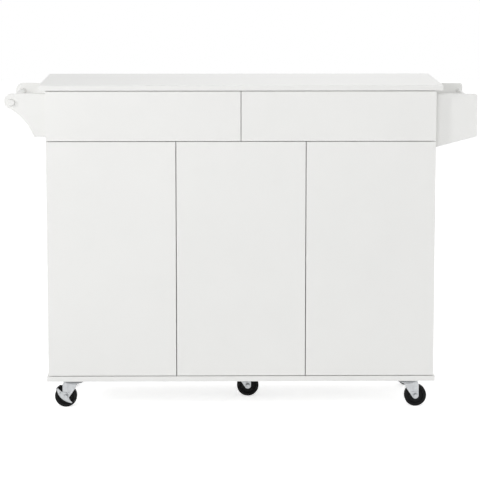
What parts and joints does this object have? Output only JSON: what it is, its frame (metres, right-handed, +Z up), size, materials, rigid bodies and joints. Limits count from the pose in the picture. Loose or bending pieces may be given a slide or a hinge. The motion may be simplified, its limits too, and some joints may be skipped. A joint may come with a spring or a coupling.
{
  "type": "drop leaf kitchen island",
  "caption": "Kitchen island on swivel casters with doors over shelves, drawers under the worktop, a folding drop leaf at the rear, a towel bar on one side and a spice rack on the other",
  "frame": {"origin": "on the floor, under the middle of the island's overall width and depth with the leaf hanging", "axes": "+X to the right along the front, towards the spice rack; +Y from the doors to the drop leaf at the rear; +Z up, out of the worktop"},
  "size_m": [1.329, 0.4684, 0.93],
  "materials": {
    "painted_board": "satin white lacquered MDF",
    "worktop_board": "satin white lacquered worktop board",
    "hardboard": "white faced hardboard",
    "drawer_board": "white melamine faced board",
    "rack_board": "satin white lacquered MDF",
    "rack_rod": "satin white lacquered beech dowel",
    "nickel_hardware": "nickel plated steel",
    "stay_steel": "white powder coated steel",
    "stay_pad": "moulded white nylon",
    "runner_steel": "zinc plated pressed steel",
    "caster_steel": "zinc plated pressed steel",
    "wheel_plastic": "moulded black nylon"
  },
  "bodies": {
    "cabinet": {"base_panel": "painted_board", "left_side_panel": "painted_board", "right_side_panel": "painted_board", "left_divider": "painted_board", "right_divider": "painted_board", "drawer_deck": "painted_board", "drawer_partition": "painted_board", "back_rail": "painted_board", "left_shelf": "painted_board", "centre_shelf": "painted_board", "right_shelf": "painted_board", "worktop": "worktop_board", "back_panel": "hardboard", "towel_ear_front": "rack_board", "towel_ear_rear": "rack_board", "spice_front_panel": "rack_board", "spice_rear_panel": "rack_board", "spice_shelf": "rack_board", "towel_bar": "rack_rod", "spice_rail": "rack_rod", "shelf_pins": "nickel_hardware", "leaf_hinge_plates": "nickel_hardware", "leaf_hinge_pins": "nickel_hardware", "door_hinge_arms": "nickel_hardware", "door_hinge_plates": "nickel_hardware", "stay_brackets": "stay_steel", "cabinet_runners": "runner_steel", "caster_plates": "caster_steel", "caster_screws": "caster_steel"},
    "left_door": {"left_door": "painted_board", "left_door_hinge_cups": "nickel_hardware"},
    "centre_door": {"centre_door": "painted_board", "centre_door_hinge_cups": "nickel_hardware"},
    "right_door": {"right_door": "painted_board", "right_door_hinge_cups": "nickel_hardware"},
    "left_drawer": {"left_drawer_front": "painted_board", "left_drawer_box": "drawer_board", "left_drawer_bottom": "hardboard", "left_drawer_runners": "runner_steel"},
    "right_drawer": {"right_drawer_front": "painted_board", "right_drawer_box": "drawer_board", "right_drawer_bottom": "hardboard", "right_drawer_runners": "runner_steel"},
    "leaf": {"drop_leaf": "worktop_board", "leaf_hinge_flaps": "nickel_hardware", "stay_rests": "stay_pad"},
    "left_stay": {"left_stay_strut": "stay_steel"},
    "right_stay": {"right_stay_strut": "stay_steel"},
    "front_left_swivel": {"front_left_fork": "caster_steel"},
    "front_left_roller": {"front_left_wheel": "wheel_plastic"},
    "front_right_swivel": {"front_right_fork": "caster_steel"},
    "front_right_roller": {"front_right_wheel": "wheel_plastic"},
    "middle_swivel": {"middle_fork": "caster_steel"},
    "middle_roller": {"middle_wheel": "wheel_plastic"},
    "rear_left_swivel": {"rear_left_fork": "caster_steel"},
    "rear_left_roller": {"rear_left_wheel": "wheel_plastic"},
    "rear_right_swivel": {"rear_right_fork": "caster_steel"},
    "rear_right_roller": {"rear_right_wheel": "wheel_plastic"},
    "front_left_brake": {"front_left_brake_pedal": "caster_steel"},
    "rear_right_brake": {"rear_right_brake_pedal": "caster_steel"}
  },
  "joints": [
    {"name": "left_door_hinge", "type": "hinge", "parent": "cabinet", "child": "left_door", "pos_m": [-0.5405, -0.22105, 0.437], "axis": [0, 0, -1], "range_deg": [0, 95]},
    {"name": "centre_door_hinge", "type": "hinge", "parent": "cabinet", "child": "centre_door", "pos_m": [-0.17477, -0.22105, 0.437], "axis": [0, 0, -1], "range_deg": [0, 95]},
    {"name": "right_door_hinge", "type": "hinge", "parent": "cabinet", "child": "right_door", "pos_m": [0.5405, -0.22105, 0.437], "axis": [0, 0, 1], "range_deg": [0, 95]},
    {"name": "left_drawer_slide", "type": "slide", "parent": "cabinet", "child": "left_drawer", "axis": [0, -1, 0], "range_m": [0, 0.28]},
    {"name": "right_drawer_slide", "type": "slide", "parent": "cabinet", "child": "right_drawer", "axis": [0, -1, 0], "range_m": [0, 0.28]},
    {"name": "leaf_hinge", "type": "hinge", "parent": "cabinet", "child": "leaf", "pos_m": [0, 0.21625, 0.912], "axis": [1, 0, 0], "range_deg": [0, 90]},
    {"name": "left_stay_pivot", "type": "hinge", "parent": "cabinet", "child": "left_stay", "pos_m": [-0.25, 0.20875, 0.805], "axis": [1, 0, 0], "range_deg": [0, 135]},
    {"name": "right_stay_pivot", "type": "hinge", "parent": "cabinet", "child": "right_stay", "pos_m": [0.25, 0.20875, 0.805], "axis": [1, 0, 0], "range_deg": [0, 135]},
    {"name": "front_left_swivel_turn", "type": "hinge", "parent": "cabinet", "child": "front_left_swivel", "pos_m": [-0.48, -0.15675, 0.078], "axis": [0, 0, 1], "continuous": true},
    {"name": "front_left_wheel_spin", "type": "hinge", "parent": "front_left_swivel", "child": "front_left_roller", "pos_m": [-0.5025, -0.15675, 0.03175], "axis": [0, 1, 0], "continuous": true},
    {"name": "front_right_swivel_turn", "type": "hinge", "parent": "cabinet", "child": "front_right_swivel", "pos_m": [0.48, -0.15675, 0.078], "axis": [0, 0, 1], "continuous": true},
    {"name": "front_right_wheel_spin", "type": "hinge", "parent": "front_right_swivel", "child": "front_right_roller", "pos_m": [0.5025, -0.15675, 0.03175], "axis": [0, 1, 0], "continuous": true},
    {"name": "middle_swivel_turn", "type": "hinge", "parent": "cabinet", "child": "middle_swivel", "pos_m": [0, -0.01375, 0.078], "axis": [0, 0, 1], "continuous": true},
    {"name": "middle_wheel_spin", "type": "hinge", "parent": "middle_swivel", "child": "middle_roller", "pos_m": [0.0225, -0.01375, 0.03175], "axis": [0, 1, 0], "continuous": true},
    {"name": "rear_left_swivel_turn", "type": "hinge", "parent": "cabinet", "child": "rear_left_swivel", "pos_m": [-0.48, 0.12925, 0.078], "axis": [0, 0, 1], "continuous": true},
    {"name": "rear_left_wheel_spin", "type": "hinge", "parent": "rear_left_swivel", "child": "rear_left_roller", "pos_m": [-0.5025, 0.12925, 0.03175], "axis": [0, 1, 0], "continuous": true},
    {"name": "rear_right_swivel_turn", "type": "hinge", "parent": "cabinet", "child": "rear_right_swivel", "pos_m": [0.48, 0.12925, 0.078], "axis": [0, 0, 1], "continuous": true},
    {"name": "rear_right_wheel_spin", "type": "hinge", "parent": "rear_right_swivel", "child": "rear_right_roller", "pos_m": [0.5025, 0.12925, 0.03175], "axis": [0, 1, 0], "continuous": true},
    {"name": "front_left_brake_rock", "type": "hinge", "parent": "front_left_swivel", "child": "front_left_brake", "pos_m": [-0.5025, -0.1732, 0.03175], "axis": [0, -1, 0], "range_deg": [0, 15]},
    {"name": "rear_right_brake_rock", "type": "hinge", "parent": "rear_right_swivel", "child": "rear_right_brake", "pos_m": [0.5025, 0.1128, 0.03175], "axis": [0, 1, 0], "range_deg": [0, 15]}
  ],
  "couplings": [
    {"joint": "left_stay_pivot", "follows": "leaf_hinge", "ratio": 1.5},
    {"joint": "right_stay_pivot", "follows": "leaf_hinge", "ratio": 1.5}
  ]
}
